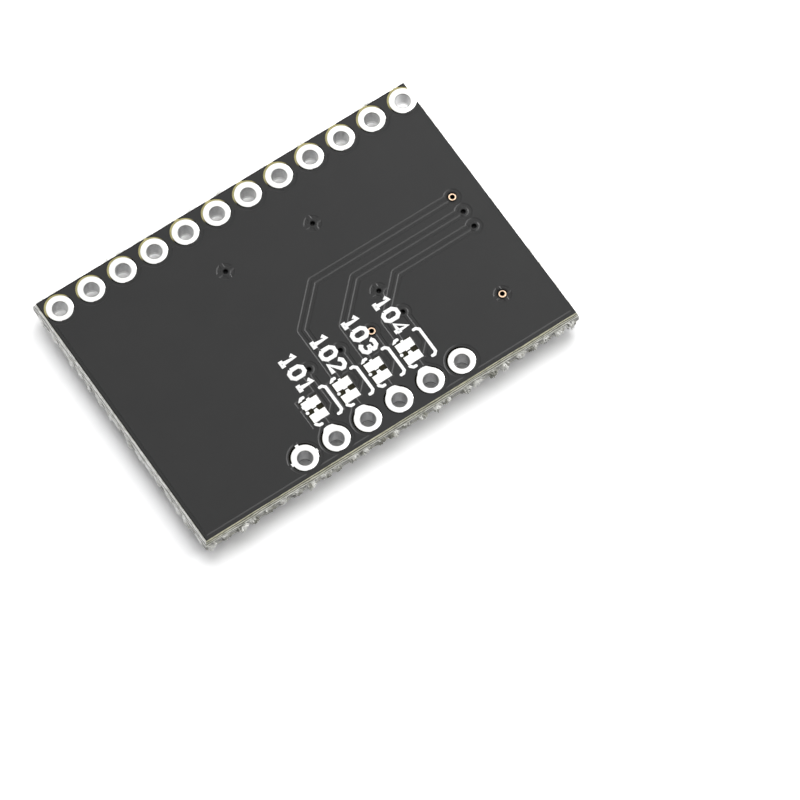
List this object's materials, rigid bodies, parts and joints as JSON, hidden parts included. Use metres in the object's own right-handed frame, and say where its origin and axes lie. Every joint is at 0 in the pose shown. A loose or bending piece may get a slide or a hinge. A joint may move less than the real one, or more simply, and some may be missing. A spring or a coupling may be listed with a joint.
{
  "type": "capacitive touch sensor module",
  "caption": "Small black circuit board with edge rows of plated pin holes, solder jumpers and a touch-sensing chip on its underside.",
  "frame": {"origin": "middle of the footprint, at the level of the surface that the parts on the underside rest on", "axes": "+X along the hole rows, from touch hole 1 to touch hole 12; +Y towards the row of twelve; +Z out of the soldering side"},
  "size_m": [0.0302, 0.0216, 0.0026],
  "materials": {
    "glass_fibre": "glass-fibre epoxy laminate, bare on its scored and broken edges",
    "copper": "etched copper foil and copper-plated vias",
    "tin": "bright tin-plated copper",
    "solder": "reflowed solder with hollow fillets",
    "solder_mask": "half-gloss black lacquer film",
    "legend_ink": "white printed ink",
    "chip_plastic": "moulded black epoxy",
    "capacitor_ceramic": "fired tan ceramic",
    "resistor_ceramic": "white alumina",
    "resistor_glaze": "black protective glaze"
  },
  "bodies": {
    "root": {"woven_glass_core": "glass_fibre", "rear_ground_plane": "copper", "rear_traces": "copper", "front_ground_plane": "copper", "front_traces": "copper", "signal_vias": "copper", "ground_vias": "copper", "rear_solder_mask": "solder_mask", "front_solder_mask": "solder_mask", "rear_legend": "legend_ink", "front_lands": "tin", "chip_contacts": "tin", "chip_heat_pad": "tin", "solder_fillets": "solder", "sensor_chip": "chip_plastic", "touch_terminal_1": "tin", "touch_terminal_2": "tin", "touch_terminal_3": "tin", "touch_terminal_4": "tin", "touch_terminal_5": "tin", "touch_terminal_6": "tin", "touch_terminal_7": "tin", "touch_terminal_8": "tin", "touch_terminal_9": "tin", "touch_terminal_10": "tin", "touch_terminal_11": "tin", "touch_terminal_12": "tin", "supply_terminal_1": "tin", "supply_terminal_2": "tin", "supply_terminal_3": "tin", "supply_terminal_4": "tin", "supply_terminal_5": "tin", "supply_terminal_6": "tin", "solder_jumper_1": "tin", "solder_jumper_2": "tin", "solder_jumper_3": "tin", "solder_jumper_4": "tin", "capacitor_1_body": "capacitor_ceramic", "capacitor_2_body": "capacitor_ceramic", "capacitor_3_body": "capacitor_ceramic", "resistor_1_body": "resistor_ceramic", "resistor_2_body": "resistor_ceramic", "resistor_3_body": "resistor_ceramic", "resistor_4_body": "resistor_ceramic", "resistor_5_body": "resistor_ceramic", "resistor_1_coat": "resistor_glaze", "resistor_2_coat": "resistor_glaze", "resistor_3_coat": "resistor_glaze", "resistor_4_coat": "resistor_glaze", "resistor_5_coat": "resistor_glaze", "capacitor_1_ends": "tin", "capacitor_2_ends": "tin", "capacitor_3_ends": "tin", "resistor_1_ends": "tin", "resistor_2_ends": "tin", "resistor_3_ends": "tin", "resistor_4_ends": "tin", "resistor_5_ends": "tin"}
  },
  "joints": []
}
